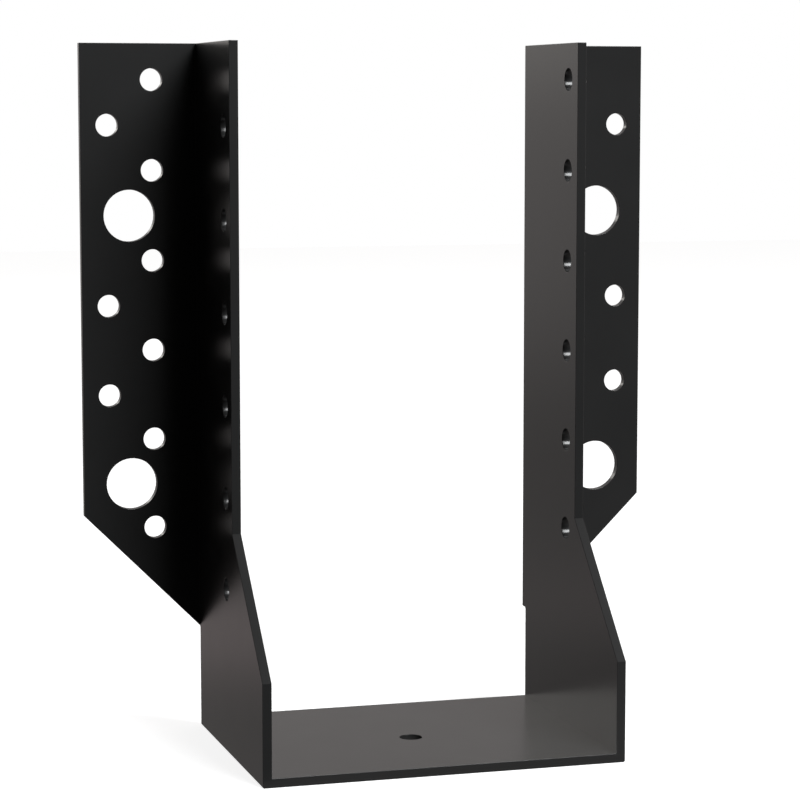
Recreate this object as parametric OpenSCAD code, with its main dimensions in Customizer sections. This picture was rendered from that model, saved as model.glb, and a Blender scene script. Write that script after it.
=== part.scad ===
// Face-fixed joist hanger, folded from one piece of punched steel sheet.
// The joist lies between the two side plates, on the seat that joins them.
// The header flanges turn outwards at the back and are fixed to the carrying beam.
// +Z is up and +Y points at the beam. The origin is under the middle of the
// whole part, in the plane that its underside stands on.

/* [Sheet] */
// Thickness of the sheet
sheet = 2; // [1:0.1:4]
// Radius inside each fold, which is pressed sharp
fold_inside_r = 0.1; // [0.1:0.1:2]
// Radius outside each fold
fold_outside_r = 0.4; // [0.2:0.1:1.2]

/* [Joist pocket] */
// Clear width between the side plates
joist_w = 76; // [38:1:200]
// Height of the side plates above the seat
side_h = 152; // [100:1:300]
// Front to back depth of the seat
seat_depth = 60; // [45:1:75]
// Front to back depth of the side plates above their slope
plate_depth = 33; // [20:1:50]

/* [Header flanges] */
// Width of each flange, from the outside of its side plate
flange_w = 26; // [22:1:40]

/* [Slopes] */
// Height where the slopes of the side plates and the flanges start
taper_z = 49; // [42:1:70]
// Angle of these slopes to the seat
taper_angle = 45; // [30:1:50]
// Distance from the start of each header fold to the cut that frees it
relief_gap = 0.3; // [0.1:0.1:1]
// Radius in the corner of that cut
relief_r = 0.6; // [0.2:0.1:1]

/* [Nail holes] */
// Diameter of a nail hole
nail_d = 5; // [3:0.5:7]
// Distance between the nail holes of one row
nail_pitch = 20; // [16:1:30]
// Distance of the highest nail holes from the top edge
nail_top = 8; // [6:1:20]
// Distance of the nail holes from the free edge beside them
nail_edge = 6; // [5:0.5:10]
// Distance between the two rows of nail holes of a flange
row_gap = 10; // [8:0.5:12]
// Distance of the seat's nail hole from its front edge
seat_hole_front = 27; // [10:1:35]

/* [Bolt holes] */
// Diameter of a bolt hole
bolt_d = 11.5; // [8:0.5:14]
// Distance of the bolt holes from the flange's free edge
bolt_edge = 10.8; // [9:0.1:12]

/* [Hidden] */
$fn = 96;

// Depth from the back of a flange to the relief line, where the cut below its fold ends
fold_size = sheet + fold_inside_r + relief_gap;
total_h = side_h + sheet;
total_depth = seat_depth + fold_size;

// Places along Y: header plane, relief line, front of the upper plates, front of the seat
header_y = total_depth / 2;
relief_y = header_y - fold_size;
plate_front_y = relief_y - plate_depth;
front_y = relief_y - seat_depth;

// Places along X: inner and outer face of a side plate, free edge of a flange
plate_in_x = joist_w / 2;
plate_out_x = plate_in_x + sheet;
flange_x = plate_out_x + flange_w;

// Heights: top of the nose, and the lower end of a flange at its fold
nose_z = taper_z - (seat_depth - plate_depth) * tan(taper_angle);
flange_low_z = flange_slope_z(flange_w);

// The second row of a flange lies half a pitch lower, and every third of its
// places, from the second one on, holds a bolt hole
stagger = nail_pitch / 2;
bolt_every = 3;
bolt_first = 1;
top_nail_z = total_h - nail_top;
nail_rows = rows_above(top_nail_z, nail_edge + row_gap);
outer_rows = rows_above(top_nail_z - stagger, nail_edge);
nail_y = plate_front_y + nail_edge;

// Depth of side plate that is drawn again with its flange, so that the two run together
lap = plate_depth / 2;

// Length of a punch, which passes through one sheet and no other
punch_h = 3 * sheet;

// Height of a flange's sloping end, at a distance from its free edge
function flange_slope_z(from_edge) = taper_z - from_edge * tan(taper_angle);

// Number of holes that fit below z0, down to the sloping end of the flange
function rows_above(z0, from_edge) =
    floor((z0 - flange_slope_z(from_edge) - nail_edge / cos(taper_angle)) / nail_pitch) + 1;

// Height of one hole in a row that starts at z0
function row_z(z0, i) = z0 - i * nail_pitch;

// True where a place in a flange's outer row holds a bolt hole
function is_bolt(i) = i % bolt_every == bolt_first;

// What a round corner at the origin leaves over, with a margin outside both of its edges
module corner_rest(r) {
    difference() {
        translate([-r, -r]) square(2 * r);
        translate([r, r]) circle(r);
    }
}

// Rectangle with one corner at the origin, where it is rounded
module corner_outline(w, h, r) {
    difference() {
        square([w, h]);
        corner_rest(r);
    }
}

// Rectangle that stands on the X axis, with its two lower corners rounded
module cup_outline(w, h, r) {
    intersection() {
        translate([-w / 2, 0]) corner_outline(w, h, r);
        translate([w / 2, 0]) mirror([1, 0]) corner_outline(w, h, r);
    }
}

// Section of the seat and side plates, seen from the front
module cradle_section() {
    difference() {
        cup_outline(2 * plate_out_x, total_h, fold_outside_r);
        translate([0, sheet]) cup_outline(joist_w, total_h, fold_inside_r);
    }
}

// Outline of the seat and side plates, seen from the side
module cradle_outline() {
    polygon([
        [front_y, 0],
        [front_y, nose_z],
        [plate_front_y, taper_z],
        [plate_front_y, total_h],
        [relief_y, total_h],
        [relief_y, 0]
    ]);
}

// Plan of the right flange and its fold, with the back of the side plate
module header_section() {
    translate([plate_in_x, header_y])
        mirror([0, 1])
            difference() {
                corner_outline(sheet + flange_w, fold_size + lap, fold_outside_r);
                translate([sheet, sheet])
                    corner_outline(sheet + flange_w, fold_size + lap, fold_inside_r);
            }
}

// Outline of the right flange, seen from the front, with the plate's edge below it
module header_front_outline() {
    polygon([
        [plate_in_x, flange_low_z - relief_r],
        [plate_out_x, flange_low_z - relief_r],
        [plate_out_x, flange_low_z],
        [flange_x, taper_z],
        [flange_x, total_h],
        [plate_in_x, total_h]
    ]);
}

// Outline of the same from the side, with the round corner of the relief cut
module header_side_outline() {
    polygon([
        [relief_y - lap, flange_low_z],
        [header_y, flange_low_z],
        [header_y, total_h],
        [relief_y - lap, total_h]
    ]);
    translate([relief_y, flange_low_z]) mirror([0, 1]) corner_rest(relief_r);
}

// Bar of an outline drawn in X and Z, from Y = 0 forwards
module along_y(length) {
    rotate([90, 0, 0]) linear_extrude(length) children();
}

// Bar of an outline drawn in Y and Z, from X = 0 to the right
module along_x(length) {
    rotate([90, 0, 90]) linear_extrude(length) children();
}

module punch(d) {
    cylinder(d = d, h = punch_h, center = true);
}

// Seat and side plates: the section runs from front to back, cut to the side outline
module cradle() {
    intersection() {
        translate([0, relief_y, 0]) along_y(seat_depth) cradle_section();
        translate([-plate_out_x, 0, 0]) along_x(2 * plate_out_x) cradle_outline();
    }
}

// Right header flange and its fold: the plan runs from bottom to top, cut to the
// outlines from the front and from the side
module header_flange() {
    intersection() {
        linear_extrude(total_h) header_section();
        translate([0, header_y, 0]) along_y(lap + fold_size) header_front_outline();
        translate([plate_in_x, 0, 0]) along_x(sheet + flange_w) header_side_outline();
    }
}

module flange_punch(from_edge, z, d) {
    translate([flange_x - from_edge, header_y - sheet / 2, z]) rotate([90, 0, 0]) punch(d);
}

// Holes of the right header flange
module flange_holes() {
    for (i = [0:nail_rows - 1])
        flange_punch(nail_edge + row_gap, row_z(top_nail_z, i), nail_d);
    for (i = [0:outer_rows - 1])
        flange_punch(
            is_bolt(i) ? bolt_edge : nail_edge,
            row_z(top_nail_z - stagger, i),
            is_bolt(i) ? bolt_d : nail_d
        );
}

// Row of nail holes in one side plate, at X = x
module plate_holes(x, z0) {
    for (i = [0:nail_rows - 1])
        translate([x, nail_y, row_z(z0, i)]) rotate([0, 90, 0]) punch(nail_d);
}

module seat_hole() {
    translate([0, front_y + seat_hole_front, sheet / 2]) punch(nail_d);
}

// The two side plates are nailed half a pitch apart, so that the nails pass in the joist
module hanger() {
    color("#1c1c1c")
        difference() {
            union() {
                cradle();
                header_flange();
                mirror([1, 0, 0]) header_flange();
            }
            flange_holes();
            mirror([1, 0, 0]) flange_holes();
            plate_holes(plate_in_x + sheet / 2, top_nail_z);
            plate_holes(-plate_in_x - sheet / 2, top_nail_z - stagger);
            seat_hole();
        }
}

hanger();
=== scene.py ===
"""Joist hanger, folded from one punched steel sheet and coated black.

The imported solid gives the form. This script breaks its sheared edges, gives it the
black coat, stands it in a small studio and sets the camera to the photograph's
viewing angle.
"""

import logging
import math
from dataclasses import dataclass, field
from enum import Enum

import bmesh
import bpy
from mathutils import Euler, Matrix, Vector


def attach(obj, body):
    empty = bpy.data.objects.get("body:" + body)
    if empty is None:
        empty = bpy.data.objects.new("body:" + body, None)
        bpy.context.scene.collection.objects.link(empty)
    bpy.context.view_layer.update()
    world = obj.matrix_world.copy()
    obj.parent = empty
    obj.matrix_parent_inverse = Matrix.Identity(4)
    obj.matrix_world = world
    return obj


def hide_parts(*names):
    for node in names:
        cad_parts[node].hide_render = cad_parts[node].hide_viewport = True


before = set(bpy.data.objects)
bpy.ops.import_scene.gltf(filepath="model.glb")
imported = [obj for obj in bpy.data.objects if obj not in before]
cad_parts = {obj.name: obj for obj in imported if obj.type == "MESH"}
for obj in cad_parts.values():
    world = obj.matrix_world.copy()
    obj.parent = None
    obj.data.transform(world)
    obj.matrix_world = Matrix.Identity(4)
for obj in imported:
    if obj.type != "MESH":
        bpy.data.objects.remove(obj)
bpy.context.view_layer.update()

MM = 0.001
log = logging.getLogger("joist_hanger")


class Port(Enum):
    """Kind of value that a node group's socket carries."""

    VALUE = "NodeSocketFloat"
    VECTOR = "NodeSocketVector"
    COLOUR = "NodeSocketColor"


def wire(tree: bpy.types.NodeTree, kind: str, **settings: object) -> bpy.types.Node:
    """Adds one node to a tree.

    Args:
        tree: The node tree that takes the node.
        kind: The node's type name in Blender.
        settings: Attributes of the node, such as its operation.

    Returns:
        The new node.
    """
    node = tree.nodes.new(kind)
    for name, value in settings.items():
        setattr(node, name, value)
    return node


def new_group(
    name: str, inputs: dict[str, tuple[Port, float]], outputs: dict[str, Port]
) -> tuple[bpy.types.NodeTree, bpy.types.Node, bpy.types.Node]:
    """Starts a shader node group with named inputs and outputs.

    Args:
        name: The group's name.
        inputs: Each input's kind and default value, by name.
        outputs: Each output's kind, by name.

    Returns:
        The group's tree, its input node and its output node.
    """
    tree = bpy.data.node_groups.new(name, "ShaderNodeTree")
    for label, (port, default) in inputs.items():
        socket = tree.interface.new_socket(label, in_out="INPUT", socket_type=port.value)
        if port is Port.VALUE:
            socket.default_value = default
    for label, port in outputs.items():
        tree.interface.new_socket(label, in_out="OUTPUT", socket_type=port.value)
    return tree, wire(tree, "NodeGroupInput"), wire(tree, "NodeGroupOutput")


def coat_surface_group() -> bpy.types.NodeTree:
    """Builds the relief of a baked coat: fine orange peel over a slow swell of the film.

    Returns:
        A group that turns a place on the part into a height.
    """
    tree, given, result = new_group(
        "coat_surface",
        {
            "Place": (Port.VECTOR, 0.0),
            "Peel per metre": (Port.VALUE, 900.0),
            "Swell per metre": (Port.VALUE, 120.0),
            "Swell share": (Port.VALUE, 0.4),
        },
        {"Height": Port.VALUE},
    )
    peel = wire(tree, "ShaderNodeTexNoise", noise_dimensions="3D")
    peel.inputs["Detail"].default_value = 1.5
    swell = wire(tree, "ShaderNodeTexNoise", noise_dimensions="3D")
    swell.inputs["Detail"].default_value = 2.0
    blend = wire(tree, "ShaderNodeMix", data_type="FLOAT")
    links = tree.links
    links.new(given.outputs["Place"], peel.inputs["Vector"])
    links.new(given.outputs["Place"], swell.inputs["Vector"])
    links.new(given.outputs["Peel per metre"], peel.inputs["Scale"])
    links.new(given.outputs["Swell per metre"], swell.inputs["Scale"])
    links.new(given.outputs["Swell share"], blend.inputs["Factor"])
    links.new(peel.outputs["Fac"], blend.inputs["A"])
    links.new(swell.outputs["Fac"], blend.inputs["B"])
    links.new(blend.outputs["Result"], result.inputs["Height"])
    return tree


def mottle_group() -> bpy.types.NodeTree:
    """Builds a soft cloudy variation between two values, as a coat has across a sheet.

    Returns:
        A group that turns a place on the part into a value.
    """
    tree, given, result = new_group(
        "mottle",
        {
            "Place": (Port.VECTOR, 0.0),
            "Clouds per metre": (Port.VALUE, 60.0),
            "Low": (Port.VALUE, 0.0),
            "High": (Port.VALUE, 1.0),
        },
        {"Value": Port.VALUE},
    )
    noise = wire(tree, "ShaderNodeTexNoise", noise_dimensions="3D")
    noise.inputs["Detail"].default_value = 3.0
    spread = wire(tree, "ShaderNodeMapRange", interpolation_type="SMOOTHSTEP")
    spread.inputs["From Min"].default_value = 0.3
    spread.inputs["From Max"].default_value = 0.7
    links = tree.links
    links.new(given.outputs["Place"], noise.inputs["Vector"])
    links.new(given.outputs["Clouds per metre"], noise.inputs["Scale"])
    links.new(noise.outputs["Fac"], spread.inputs["Value"])
    links.new(given.outputs["Low"], spread.inputs["To Min"])
    links.new(given.outputs["High"], spread.inputs["To Max"])
    links.new(spread.outputs["Result"], result.inputs["Value"])
    return tree


@dataclass(frozen=True)
class BlackCoat:
    """Baked black paint on steel: satin, smooth, a little uneven in its film.

    Attributes:
        slot: The slot that the part's record gives this finish; not used.
        dark: Its darkest colour.
        light: Its lightest colour.
        smoothest: Lowest roughness.
        roughest: Highest roughness.
        ior: The film's index of refraction.
        tone_clouds: Clouds of tone in a metre.
        sheen_clouds: Clouds of sheen in a metre.
        peel_per_metre: Grains of orange peel in a metre.
        swell_per_metre: Swells of the film in a metre.
        relief: Height of both.
    """

    slot: str = "black_coated_steel"
    dark: tuple[float, float, float] = (0.022, 0.022, 0.0221)
    light: tuple[float, float, float] = (0.024, 0.024, 0.0241)
    smoothest: float = 0.215
    roughest: float = 0.23
    ior: float = 1.5
    tone_clouds: float = 45.0
    sheen_clouds: float = 130.0
    peel_per_metre: float = 900.0
    swell_per_metre: float = 90.0
    relief: float = 0.0015 * MM

    def material(self) -> bpy.types.Material:
        """Builds the material: clouds in tone and sheen, and the film's relief.

        Returns:
            The finished material.
        """
        made = bpy.data.materials.new("black_coat")
        made.use_nodes = True
        tree = made.node_tree
        shader = tree.nodes["Principled BSDF"]
        shader.inputs["IOR"].default_value = self.ior
        place = wire(tree, "ShaderNodeTexCoord").outputs["Object"]
        mottle = mottle_group()
        tone = self._clouds(tree, mottle, place, self.tone_clouds, 0.0, 1.0)
        sheen = self._clouds(
            tree, mottle, place, self.sheen_clouds, self.smoothest, self.roughest
        )
        tint = wire(tree, "ShaderNodeMix", data_type="RGBA")
        tint.inputs["A"].default_value = (*self.dark, 1.0)
        tint.inputs["B"].default_value = (*self.light, 1.0)
        relief = wire(tree, "ShaderNodeGroup", node_tree=coat_surface_group())
        relief.inputs["Peel per metre"].default_value = self.peel_per_metre
        relief.inputs["Swell per metre"].default_value = self.swell_per_metre
        bump = wire(tree, "ShaderNodeBump")
        bump.inputs["Distance"].default_value = self.relief
        links = tree.links
        links.new(place, relief.inputs["Place"])
        links.new(tone, tint.inputs["Factor"])
        links.new(tint.outputs["Result"], shader.inputs["Base Color"])
        links.new(sheen, shader.inputs["Roughness"])
        links.new(relief.outputs["Height"], bump.inputs["Height"])
        links.new(bump.outputs["Normal"], shader.inputs["Normal"])
        return made

    @staticmethod
    def _clouds(
        tree: bpy.types.NodeTree,
        group: bpy.types.NodeTree,
        place: bpy.types.NodeSocket,
        per_metre: float,
        low: float,
        high: float,
    ) -> bpy.types.NodeSocket:
        """Places the mottle group in the material.

        Args:
            tree: The material's tree.
            group: The mottle group.
            place: Socket of the place on the part.
            per_metre: Number of clouds in a metre.
            low: The value between the clouds.
            high: The value within them.

        Returns:
            The socket of the value.
        """
        node = wire(tree, "ShaderNodeGroup", node_tree=group)
        node.inputs["Clouds per metre"].default_value = per_metre
        node.inputs["Low"].default_value = low
        node.inputs["High"].default_value = high
        tree.links.new(place, node.inputs["Place"])
        return node.outputs["Value"]


@dataclass
class Hanger:
    """The folded sheet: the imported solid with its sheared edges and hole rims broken.

    Attributes:
        node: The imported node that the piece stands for.
        body: The body that it rides on.
        name: The shown piece's name.
        edge_break: Width of the break on each sheared edge.
        edge_steps: Number of facets across it.
        broken_from: Convex corners wider than this are broken.
        corner_from: Hollow corners wider than this are shaded sharp.
        crisp_from: Convex corners wider than this are shaded sharp.
        flat_within: Faces that turn by less than this become one.
        weld: Vertices nearer than this are one.
        seat_fold: Place of each seat fold's inner corner, across and up.
        fold_radius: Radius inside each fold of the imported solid.
        fold_end: Lower end of each header fold, across, back and up.
        fold_end_reach: Edges that lie this near to it all stay unbroken.
        coat: The finish.
    """

    node: str = "hanger"
    body: str = "root"
    name: str = "folded_hanger"
    edge_break: float = 0.1 * MM
    edge_steps: int = 3
    broken_from: float = math.radians(50)
    corner_from: float = math.radians(25)
    crisp_from: float = math.radians(40)
    flat_within: float = math.radians(0.3)
    weld: float = 0.001 * MM
    seat_fold: tuple[float, float] = (38.0 * MM, 2.0 * MM)
    fold_radius: float = 0.1 * MM
    fold_end: tuple[float, float, float] = (40.0 * MM, 29.2 * MM, 23.05 * MM)
    fold_end_reach: float = 0.25 * MM
    coat: BlackCoat = field(default_factory=BlackCoat)

    def build(self) -> bpy.types.Object:
        """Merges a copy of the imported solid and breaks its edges.

        Returns:
            The shown piece, which stands for the solid.
        """
        shape = bmesh.new()
        shape.from_mesh(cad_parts[self.node].data)
        bmesh.ops.scale(shape, vec=Vector.Fill(3, 1 / MM), verts=shape.verts)
        self._press_seat_folds(shape)
        bmesh.ops.remove_doubles(shape, verts=shape.verts, dist=self.weld / MM)
        bmesh.ops.dissolve_limit(
            shape, angle_limit=self.flat_within, verts=shape.verts, edges=shape.edges
        )
        corners = [edge for edge in shape.edges if edge.calc_face_angle(0.0) > self.broken_from]
        bmesh.ops.bevel(
            shape,
            geom=[edge for edge in corners if edge.is_convex and not self._at_fold_end(edge)],
            offset=self.edge_break / MM,
            offset_type="OFFSET",
            affect="EDGES",
            segments=self.edge_steps,
            profile=0.5,
            material=-1,
            clamp_overlap=False,
        )
        bmesh.ops.scale(shape, vec=Vector.Fill(3, MM), verts=shape.verts)
        for face in shape.faces:
            face.smooth = True
        for edge in shape.edges:
            limit = self.crisp_from if edge.is_convex else self.corner_from
            edge.smooth = edge.calc_face_angle(0.0) < limit
        mesh = bpy.data.meshes.new(self.name)
        shape.to_mesh(mesh)
        shape.free()
        piece = bpy.data.objects.new(self.name, mesh)
        bpy.context.scene.collection.objects.link(piece)
        even = piece.modifiers.new("even_shading", "WEIGHTED_NORMAL")
        even.weight = 100
        even.keep_sharp = True
        return piece

    def _press_seat_folds(self, shape: bmesh.types.BMesh) -> None:
        """Draws the inside of the two folds beside the seat sharp, as the photo shows it.

        Args:
            shape: The copy of the solid, in millimetres.
        """
        across, up = (size / MM for size in self.seat_fold)
        reach = (self.fold_radius + self.weld) / MM
        for vert in shape.verts:
            if abs(abs(vert.co.x) - across) < reach and abs(vert.co.z - up) < reach:
                vert.co.x = math.copysign(across, vert.co.x)
                vert.co.z = up

    def _at_fold_end(self, edge: bmesh.types.BMEdge) -> bool:
        """Tells the edges at a header fold's lower end, where the fold is too small to break.

        Args:
            edge: An edge of the copy, in millimetres.

        Returns:
            Whether both of its ends lie there.
        """
        across, back, up = (size / MM for size in self.fold_end)
        reach = self.fold_end_reach / MM
        return all(
            abs(abs(vert.co.x) - across) < reach
            and abs(vert.co.y - back) < reach
            and abs(vert.co.z - up) < reach
            for vert in edge.verts
        )

    def dress(self, piece: bpy.types.Object) -> None:
        """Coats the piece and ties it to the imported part.

        Args:
            piece: The shown piece from build().
        """
        piece.data.materials.append(self.coat.material())
        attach(piece, self.body)
        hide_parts(self.node)
        log.info("%s: %d faces, coated", piece.name, len(piece.data.polygons))


@dataclass(frozen=True)
class Softbox:
    """One area lamp, aimed at a point of the part.

    Attributes:
        name: The lamp's name.
        azimuth: Its direction, from the part's front towards its right.
        elevation: Its angle above the horizon.
        distance: Its distance from the point that it faces.
        width: Width of its glowing face.
        height: Height of its glowing face.
        radiance: Brightness of its face, where 1 is white.
        tint: Its colour.
    """

    name: str
    azimuth: float
    elevation: float
    distance: float
    width: float
    height: float
    radiance: float
    tint: tuple[float, float, float] = (1.0, 1.0, 1.0)

    def place(self, aim: Vector) -> bpy.types.Object:
        """Puts the lamp in the scene.

        Args:
            aim: The point that the lamp faces.

        Returns:
            The lamp.
        """
        lamp = bpy.data.lights.new(self.name, "AREA")
        lamp.shape = "RECTANGLE"
        lamp.size = self.width
        lamp.size_y = self.height
        lamp.color = self.tint
        lamp.energy = self.radiance * self.width * self.height * math.pi
        holder = bpy.data.objects.new(self.name, lamp)
        flat = math.cos(self.elevation)
        away = Vector(
            (
                math.sin(self.azimuth) * flat,
                -math.cos(self.azimuth) * flat,
                math.sin(self.elevation),
            )
        )
        holder.location = aim + away * self.distance
        holder.rotation_euler = away.to_track_quat("Z", "Y").to_euler()
        bpy.context.scene.collection.objects.link(holder)
        return holder


@dataclass(frozen=True)
class Room:
    """Tones of the studio around the part: pale behind and to the right, dark at the left.

    Attributes:
        tint: Colour of every tone.
        lit_toward: Azimuth of the pale side, from +Y towards +X.
        dark_below: Cosine of the angle to the pale side where the dark side ends.
        lit_above: Cosine of the angle to it where the full tone starts.
        darkest: Share of the tone that the dark side keeps.
        heights: Sines of elevation at which the tones are given.
        tones: Tone at each of these heights.
    """

    tint: tuple[float, float, float] = (1.06, 1.0, 0.98)
    lit_toward: float = math.radians(40)
    dark_below: float = -0.17
    lit_above: float = 0.26
    darkest: float = 0.05
    heights: tuple[float, ...] = (-1.0, -0.64, -0.34, -0.14, 0.0, 0.14, 0.29, 0.5, 0.75, 1.0)
    tones: tuple[float, ...] = (0.17, 0.17, 0.22, 0.20, 0.40, 0.36, 0.40, 0.40, 0.26, 0.22)

    def group(self) -> bpy.types.NodeTree:
        """Builds the group that gives the room's colour in one direction.

        Returns:
            A group that turns a direction into a colour.
        """
        tree, given, result = new_group(
            "room_tone",
            {"Direction": (Port.VECTOR, 0.0)},
            {"Colour": Port.COLOUR},
        )
        links = tree.links
        unit = wire(tree, "ShaderNodeVectorMath", operation="NORMALIZE")
        links.new(given.outputs["Direction"], unit.inputs[0])
        lit = self._side(tree, unit)
        links.new(self._scaled(tree, self._rise(tree, unit), lit), result.inputs["Colour"])
        return tree

    def _rise(self, tree: bpy.types.NodeTree, unit: bpy.types.Node) -> bpy.types.NodeSocket:
        """Adds the tone by height above the horizon.

        Args:
            tree: The group's tree.
            unit: The node that gives the direction at length 1.

        Returns:
            The tone's socket.
        """
        split = wire(tree, "ShaderNodeSeparateXYZ")
        level = wire(tree, "ShaderNodeMapRange")
        level.inputs["From Min"].default_value = -1.0
        curve = wire(tree, "ShaderNodeFloatCurve")
        points = curve.mapping.curves[0].points
        while len(points) < len(self.heights):
            points.new(0.5, 0.5)
        for point, height, tone in zip(points, self.heights, self.tones):
            point.location = ((height + 1.0) / 2.0, tone)
            point.handle_type = "AUTO_CLAMPED"
        curve.mapping.update()
        tree.links.new(unit.outputs["Vector"], split.inputs["Vector"])
        tree.links.new(split.outputs["Z"], level.inputs["Value"])
        tree.links.new(level.outputs["Result"], curve.inputs["Value"])
        return curve.outputs["Value"]

    def _side(self, tree: bpy.types.NodeTree, unit: bpy.types.Node) -> bpy.types.NodeSocket:
        """Adds the mask that keeps the left front of the room dark.

        Args:
            tree: The group's tree.
            unit: The node that gives the direction at length 1.

        Returns:
            The mask's socket.
        """
        flat = wire(tree, "ShaderNodeVectorMath", operation="MULTIPLY")
        flat.inputs[1].default_value = (1.0, 1.0, 0.0)
        level = wire(tree, "ShaderNodeVectorMath", operation="NORMALIZE")
        along = wire(tree, "ShaderNodeVectorMath", operation="DOT_PRODUCT")
        along.inputs[1].default_value = (
            math.sin(self.lit_toward),
            math.cos(self.lit_toward),
            0.0,
        )
        mask = wire(tree, "ShaderNodeMapRange", interpolation_type="SMOOTHSTEP")
        mask.inputs["From Min"].default_value = self.dark_below
        mask.inputs["From Max"].default_value = self.lit_above
        mask.inputs["To Min"].default_value = self.darkest
        tree.links.new(unit.outputs["Vector"], flat.inputs[0])
        tree.links.new(flat.outputs["Vector"], level.inputs[0])
        tree.links.new(level.outputs["Vector"], along.inputs[0])
        tree.links.new(along.outputs["Value"], mask.inputs["Value"])
        return mask.outputs["Result"]

    def _scaled(
        self,
        tree: bpy.types.NodeTree,
        tone: bpy.types.NodeSocket,
        mask: bpy.types.NodeSocket,
    ) -> bpy.types.NodeSocket:
        """Tints the masked tone.

        Args:
            tree: The group's tree.
            tone: Socket of the tone.
            mask: Socket of the mask.

        Returns:
            The colour's socket.
        """
        product = wire(tree, "ShaderNodeMath", operation="MULTIPLY")
        tinted = wire(tree, "ShaderNodeVectorMath", operation="SCALE")
        tinted.inputs[0].default_value = self.tint
        tree.links.new(tone, product.inputs[0])
        tree.links.new(mask, product.inputs[1])
        tree.links.new(product.outputs["Value"], tinted.inputs["Scale"])
        return tinted.outputs["Vector"]


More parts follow.
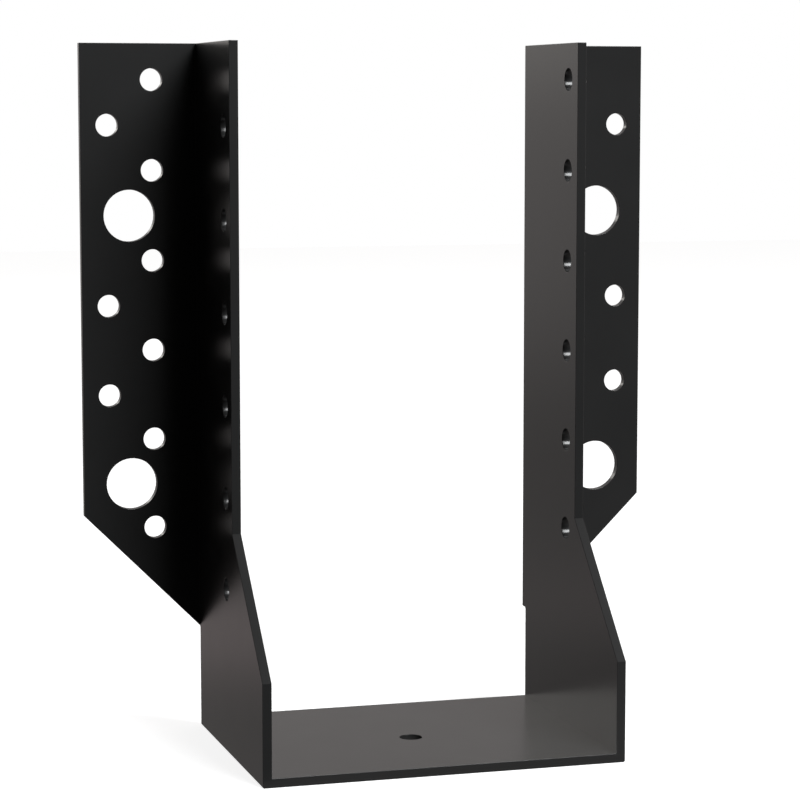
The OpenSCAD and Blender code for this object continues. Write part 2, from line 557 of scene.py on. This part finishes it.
@dataclass
class Studio:
    """White floor and backdrop for the camera, with the room and the lamps for the part.

    Attributes:
        aim: The point that the lamps face.
        floor_pivot: The point from which the floor's painted light and shade, which the coat
            mirrors, are measured.
        floor_half: Half the floor's width.
        floor_glow: Brightness that the camera sees in the floor without any lamp.
        floor_tone: The floor's own colour, which takes the lamps and the shadow.
        pool_centre: Middle of the painted warm pool of light on the floor behind the left plate.
        pool_radius: Its radius.
        pool_colour: Its colour, painted into the floor's glow on top of the room's tone.
        room: Tones of the room.
        lamps: The lamps.
    """

    aim: Vector = field(default_factory=lambda: Vector((0.0, 0.0, 0.075)))
    floor_pivot: Vector = field(default_factory=lambda: Vector((-0.04, -0.035, 0.075)))
    floor_half: float = 2.0
    floor_glow: float = 0.86
    floor_tone: float = 0.55
    pool_centre: Vector = field(default_factory=lambda: Vector((-0.09, 0.135, 0.0)))
    pool_radius: float = 0.12
    pool_colour: tuple[float, float, float] = (0.108, 0.078, 0.08)
    room: Room = field(default_factory=Room)
    lamps: tuple[Softbox, ...] = (
        Softbox(
            name="key",
            azimuth=math.radians(27),
            elevation=math.radians(39.8),
            distance=1.4,
            width=0.76,
            height=0.58,
            radiance=16.0,
            tint=(0.98, 1.0, 1.01),
        ),
        Softbox(
            name="rear_left",
            azimuth=math.radians(206),
            elevation=math.radians(13.2),
            distance=1.4,
            width=0.9,
            height=0.2,
            radiance=2.1,
            tint=(1.03, 1.0, 0.95),
        ),
        Softbox(
            name="rear_left_low",
            azimuth=math.radians(202),
            elevation=math.radians(6.5),
            distance=1.4,
            width=1.15,
            height=0.147,
            radiance=0.27,
            tint=(1.03, 1.0, 0.95),
        ),
        Softbox(
            name="front_fill",
            azimuth=math.radians(10),
            elevation=math.radians(13),
            distance=1.4,
            width=0.48,
            height=0.44,
            radiance=0.18,
        ),
    )

    def build(self) -> None:
        """Builds the floor, the surroundings and the lamps."""
        tone = self.room.group()
        self._floor(tone)
        self._surroundings(tone)
        for lamp in self.lamps:
            lamp.place(self.aim)
            log.info("lamp %s placed", lamp.name)

    def _floor(self, tone: bpy.types.NodeTree) -> None:
        """Lays the floor that the part stands on.

        Args:
            tone: The group that gives the room's colour in one direction.
        """
        shape = bmesh.new()
        bmesh.ops.create_grid(shape, x_segments=1, y_segments=1, size=self.floor_half)
        mesh = bpy.data.meshes.new("floor")
        shape.to_mesh(mesh)
        shape.free()
        floor = bpy.data.objects.new("floor", mesh)
        bpy.context.scene.collection.objects.link(floor)
        mesh.materials.append(self._floor_material(tone))
        log.info("floor laid")

    def _floor_material(self, tone: bpy.types.NodeTree) -> bpy.types.Material:
        """Makes the floor white with a soft shadow to the camera, and to the part a glow of
        painted light and shade.

        Args:
            tone: The group that gives the room's colour in one direction.

        Returns:
            The floor's material.
        """
        made = bpy.data.materials.new("floor")
        made.use_nodes = True
        tree = made.node_tree
        tree.nodes.clear()
        links = tree.links
        place = wire(tree, "ShaderNodeTexCoord").outputs["Object"]
        toward = wire(tree, "ShaderNodeVectorMath", operation="SUBTRACT")
        toward.inputs[1].default_value = self.floor_pivot
        links.new(place, toward.inputs[0])
        room = wire(tree, "ShaderNodeGroup", node_tree=tone)
        links.new(toward.outputs["Vector"], room.inputs["Direction"])
        lifted = wire(tree, "ShaderNodeVectorMath", operation="ADD")
        links.new(room.outputs["Colour"], lifted.inputs[0])
        # painted light: a warm pool added to the floor's glow, which the part sees and the camera
        # does not
        links.new(self._painted_pool(tree, place), lifted.inputs[1])
        # painted light and shade: to every ray but the camera's the floor glows with the room's
        # tones by direction from floor_pivot, darker near the part and to its left front, in
        # place of lamp light and shadow
        glow = wire(tree, "ShaderNodeEmission")
        links.new(lifted.outputs["Vector"], glow.inputs["Color"])
        white = wire(tree, "ShaderNodeEmission")
        white.inputs["Strength"].default_value = self.floor_glow
        matt = wire(tree, "ShaderNodeBsdfDiffuse")
        matt.inputs["Color"].default_value = (*(self.floor_tone,) * 3, 1.0)
        shown = wire(tree, "ShaderNodeAddShader")
        links.new(white.outputs["Emission"], shown.inputs[0])
        links.new(matt.outputs["BSDF"], shown.inputs[1])
        mix = self._by_ray(tree, glow.outputs["Emission"], shown.outputs["Shader"])
        links.new(mix, wire(tree, "ShaderNodeOutputMaterial").inputs["Surface"])
        return made

    def _painted_pool(
        self, tree: bpy.types.NodeTree, place: bpy.types.NodeSocket
    ) -> bpy.types.NodeSocket:
        """Adds the painted warm pool of light on the floor behind the left plate.

        Args:
            tree: The floor material's tree.
            place: Socket of the place on the floor.

        Returns:
            The colour's socket.
        """
        away = wire(tree, "ShaderNodeVectorMath", operation="DISTANCE")
        away.inputs[1].default_value = self.pool_centre
        fade = wire(tree, "ShaderNodeMapRange", interpolation_type="SMOOTHSTEP")
        fade.inputs["From Max"].default_value = self.pool_radius
        fade.inputs["To Min"].default_value = 1.0
        fade.inputs["To Max"].default_value = 0.0
        warm = wire(tree, "ShaderNodeVectorMath", operation="SCALE")
        warm.inputs[0].default_value = self.pool_colour
        tree.links.new(place, away.inputs[0])
        tree.links.new(away.outputs["Value"], fade.inputs["Value"])
        tree.links.new(fade.outputs["Result"], warm.inputs["Scale"])
        return warm.outputs["Vector"]

    def _surroundings(self, tone: bpy.types.NodeTree) -> None:
        """Makes the world white to the camera and a soft room to the part.

        Args:
            tone: The group that gives the room's colour in one direction.
        """
        world = bpy.data.worlds.new("studio")
        bpy.context.scene.world = world
        world.use_nodes = True
        tree = world.node_tree
        tree.nodes.clear()
        links = tree.links
        room = wire(tree, "ShaderNodeGroup", node_tree=tone)
        links.new(wire(tree, "ShaderNodeTexCoord").outputs["Generated"], room.inputs["Direction"])
        glow = wire(tree, "ShaderNodeBackground")
        links.new(room.outputs["Colour"], glow.inputs["Color"])
        white = wire(tree, "ShaderNodeBackground")
        white.inputs["Color"].default_value = (1.0, 1.0, 1.0, 1.0)
        mix = self._by_ray(tree, glow.outputs["Background"], white.outputs["Background"])
        links.new(mix, wire(tree, "ShaderNodeOutputWorld").inputs["Surface"])
        log.info("surroundings set")

    @staticmethod
    def _by_ray(
        tree: bpy.types.NodeTree,
        for_part: bpy.types.NodeSocket,
        for_camera: bpy.types.NodeSocket,
    ) -> bpy.types.NodeSocket:
        """Shows one shader to the camera and another to every other ray.

        Args:
            tree: The material's or world's tree.
            for_part: Socket of the shader that lights the part and shows in its coat.
            for_camera: Socket of the shader that the camera sees.

        Returns:
            The mixed shader's socket.
        """
        ray = wire(tree, "ShaderNodeLightPath")
        mix = wire(tree, "ShaderNodeMixShader")
        tree.links.new(ray.outputs["Is Camera Ray"], mix.inputs["Fac"])
        tree.links.new(for_part, mix.inputs[1])
        tree.links.new(for_camera, mix.inputs[2])
        return mix.outputs["Shader"]


@dataclass(frozen=True)
class PhotoCamera:
    """The camera at the photograph's viewing angle.

    Attributes:
        place: The camera's place in the part's frame.
        turn: Its turn to the right of +Y.
        tilt: Its angle above the horizon.
        sensor: Width of its sensor in millimetres.
        focal_pixels: Focal length in pixels of the picture.
        picture_pixels: Width of the picture in pixels.
    """

    place: tuple[float, float, float] = (-0.16578, -0.55673, 0.14066)
    turn: float = math.radians(16.464)
    tilt: float = math.radians(-6.325)
    sensor: float = 36.0
    focal_pixels: float = 2671.3
    picture_pixels: float = 800.0

    def build(self) -> bpy.types.Object:
        """Sets the scene's camera.

        Returns:
            The camera.
        """
        lens = bpy.data.cameras.new("photo_camera")
        lens.sensor_width = self.sensor
        lens.lens = self.sensor * self.focal_pixels / self.picture_pixels
        lens.clip_start = 0.01
        camera = bpy.data.objects.new("photo_camera", lens)
        camera.location = self.place
        camera.rotation_euler = Euler((math.pi / 2 + self.tilt, 0.0, -self.turn))
        bpy.context.scene.collection.objects.link(camera)
        bpy.context.scene.camera = camera
        log.info("camera set, lens %.1f mm", lens.lens)
        return camera


def main() -> None:
    """Builds the part, the studio and the camera in order."""
    logging.basicConfig(level=logging.INFO, format="%(name)s: %(message)s")
    bpy.context.scene.view_settings.view_transform = "Standard"
    PhotoCamera().build()
    hanger = Hanger()
    hanger.dress(hanger.build())
    Studio().build()


if __name__ == "__main__":
    main()
